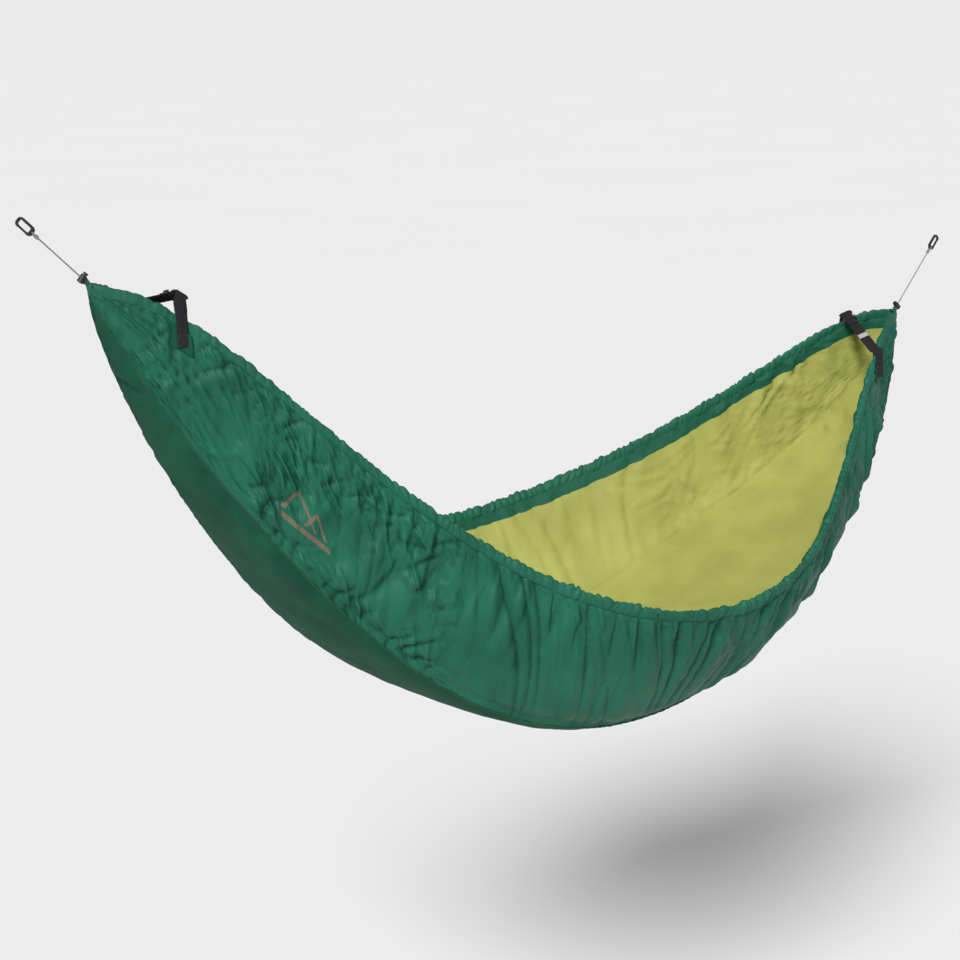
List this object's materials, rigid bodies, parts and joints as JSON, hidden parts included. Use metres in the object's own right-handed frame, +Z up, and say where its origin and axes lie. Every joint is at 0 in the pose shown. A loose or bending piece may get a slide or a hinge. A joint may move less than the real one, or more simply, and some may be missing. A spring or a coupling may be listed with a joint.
{
  "type": "hanging camp quilt",
  "caption": "Padded hammock underquilt slung as an open trough, gathered elastic edges, cross straps and hooked end cords.",
  "frame": {"origin": "centre of the flat inner seat of the foot hook, where the quilt hangs from its foot end", "axes": "+X from the foot end towards the head end, +Z up, -Y towards the near side panel"},
  "size_m": [2.6542, 1.0306, 1.2056],
  "materials": {
    "shell_fabric": "green ripstop taffeta with a soft sheen",
    "bottom_fabric": "dark green ripstop taffeta",
    "lining_fabric": "lime taffeta",
    "batting": "white polyester batting",
    "webbing": "black woven webbing",
    "moulded": "satin moulded plastic",
    "cord": "grey braided elastic cord",
    "label": "light grey woven label, blank",
    "spring_steel": "bright spring wire"
  },
  "bodies": {
    "root": {"shell_near": "shell_fabric", "shell_bottom": "bottom_fabric", "shell_far": "shell_fabric", "batting_near": "batting", "batting_bottom": "batting", "batting_far": "batting", "lining_near": "lining_fabric", "lining_bottom": "lining_fabric", "lining_far": "lining_fabric", "edge_channel_near": "shell_fabric", "edge_channel_far": "shell_fabric", "edge_cord_near": "cord", "edge_cord_far": "cord", "foot_end_hem": "shell_fabric", "head_end_hem": "shell_fabric", "foot_end_cord": "cord", "head_end_cord": "cord", "foot_cord_lock_body": "moulded", "foot_cord_lock_spring": "spring_steel", "head_cord_lock_body": "moulded", "head_cord_lock_spring": "spring_steel", "foot_hook_frame": "moulded", "head_hook_frame": "moulded", "foot_strap_tab": "webbing", "head_strap_tab": "webbing", "foot_cross_strap": "webbing", "head_cross_strap": "webbing", "foot_strap_ring": "moulded", "head_strap_ring": "moulded", "head_strap_label": "label", "foot_patch_near": "bottom_fabric", "foot_patch_far": "bottom_fabric", "head_patch_near": "bottom_fabric", "head_patch_far": "bottom_fabric"},
    "foot_plunger": {"foot_cord_lock_plunger": "moulded"},
    "head_plunger": {"head_cord_lock_plunger": "moulded"},
    "foot_gate": {"foot_hook_gate": "moulded"},
    "head_gate": {"head_hook_gate": "moulded"},
    "foot_adjuster": {"foot_strap_adjuster": "moulded"},
    "head_adjuster": {"head_strap_adjuster": "moulded"}
  },
  "joints": [
    {"name": "foot_lock_press", "type": "slide", "parent": "root", "child": "foot_plunger", "axis": [-0.682, 0, -0.7314], "range_m": [0, 0.0025], "stiffness_N_per_m": 1500, "springref_m": -0.003},
    {"name": "head_lock_press", "type": "slide", "parent": "root", "child": "head_plunger", "axis": [0.7547, 0, -0.6561], "range_m": [0, 0.0025], "stiffness_N_per_m": 1500, "springref_m": -0.003},
    {"name": "foot_gate_swing", "type": "hinge", "parent": "root", "child": "foot_gate", "pos_m": [0.01095, 0, -0.02081], "axis": [0, 1, 0], "range_deg": [0, 30], "stiffness_Nm_per_rad": 0.03, "springref_deg": -11.46},
    {"name": "head_gate_swing", "type": "hinge", "parent": "root", "child": "head_gate", "pos_m": [2.63076, 0, -0.24066], "axis": [0, -1, 0], "range_deg": [0, 30], "stiffness_Nm_per_rad": 0.03, "springref_deg": -11.46},
    {"name": "foot_strap_slide", "type": "slide", "parent": "root", "child": "foot_adjuster", "axis": [0, 0.9769, -0.2136], "range_m": [0, 0.04]},
    {"name": "head_strap_slide", "type": "slide", "parent": "root", "child": "head_adjuster", "axis": [-0.4413, -0.8528, -0.2792], "range_m": [0, 0.04]}
  ]
}
